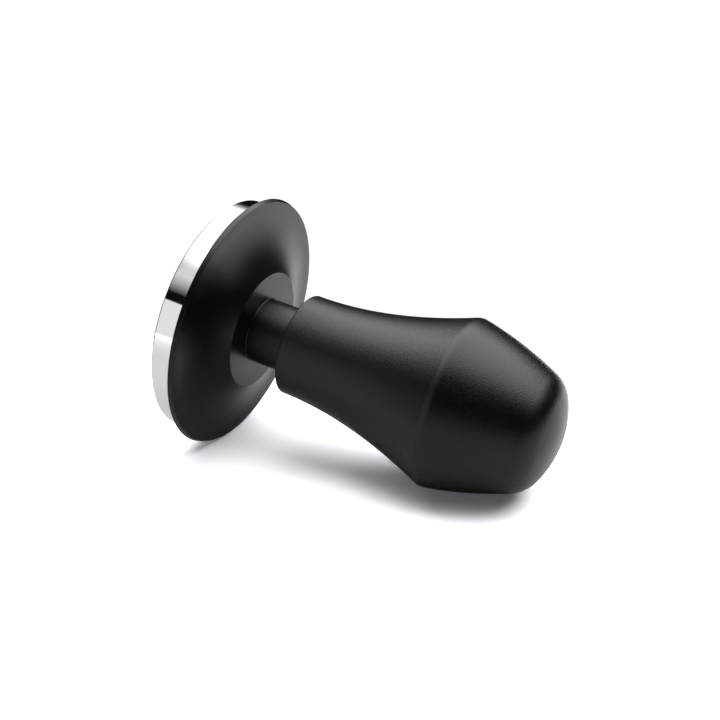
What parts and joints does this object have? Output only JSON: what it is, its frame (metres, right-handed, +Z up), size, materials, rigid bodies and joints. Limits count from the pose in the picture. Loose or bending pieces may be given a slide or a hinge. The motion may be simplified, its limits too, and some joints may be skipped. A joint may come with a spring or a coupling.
{
  "type": "espresso tamper",
  "caption": "Spring-loaded espresso tamper: a polished steel puck under a flared leveling disc, on a short neck that slides into a bulbous black handle.",
  "frame": {"origin": "centre of the tamping base's bottom face, on the surface that the tamper stands on", "axes": "+Z up the tamper's axis, from the tamping base towards the handle's domed end; X and Y are free, since the outside is round"},
  "size_m": [0.0628, 0.0628, 0.0895],
  "materials": {
    "polished_steel": "mirror-polished stainless steel",
    "turned_steel": "fine turned steel",
    "black_steel": "black-oxide steel",
    "spring_steel": "drawn spring wire",
    "plain_aluminium": "turned plain aluminium",
    "black_anodised_handle": "fine bead-blasted black anodising",
    "black_anodised_disc": "satin black anodising",
    "black_anodised_neck": "satin black anodising",
    "white_acetal": "machined natural acetal",
    "black_rubber": "matt nitrile rubber"
  },
  "bodies": {
    "base": {"tamping_base": "polished_steel", "shaft": "turned_steel", "base_lock_washer": "turned_steel", "leveler_stop_ring": "black_rubber", "piston": "plain_aluminium", "piston_guide_ring": "white_acetal", "shaft_screw": "black_steel", "shaft_screw_washer": "turned_steel", "main_spring": "spring_steel", "leveler_spring": "spring_steel"},
    "leveler_carrier": {"leveler_spring_seat": "turned_steel"},
    "leveler": {"leveling_disc": "black_anodised_disc", "neck_sleeve": "black_anodised_neck", "sleeve_bush": "white_acetal"},
    "spring_carrier": {"upper_spring_seat": "turned_steel"},
    "handle": {"handle_shell": "black_anodised_handle", "retaining_collar": "plain_aluminium", "collar_guide_bush": "white_acetal", "piston_stop_washer": "black_rubber", "thrust_washer": "white_acetal"}
  },
  "joints": [
    {"name": "handle_press", "type": "slide", "parent": "base", "child": "spring_carrier", "axis": [0, 0, -1], "range_m": [0, 0.0065], "stiffness_N_per_m": 9000, "springref_m": -0.001, "deforming": ["main_spring"]},
    {"name": "handle_spin", "type": "hinge", "parent": "spring_carrier", "child": "handle", "pos_m": [0, 0, 0.05], "axis": [0, 0, 1], "continuous": true},
    {"name": "leveler_lift", "type": "slide", "parent": "base", "child": "leveler_carrier", "axis": [0, 0, 1], "range_m": [0, 0.004], "stiffness_N_per_m": 800, "springref_m": -0.001, "deforming": ["leveler_spring"]},
    {"name": "leveler_spin", "type": "hinge", "parent": "leveler_carrier", "child": "leveler", "pos_m": [0, 0, 0.01], "axis": [0, 0, 1], "continuous": true}
  ]
}
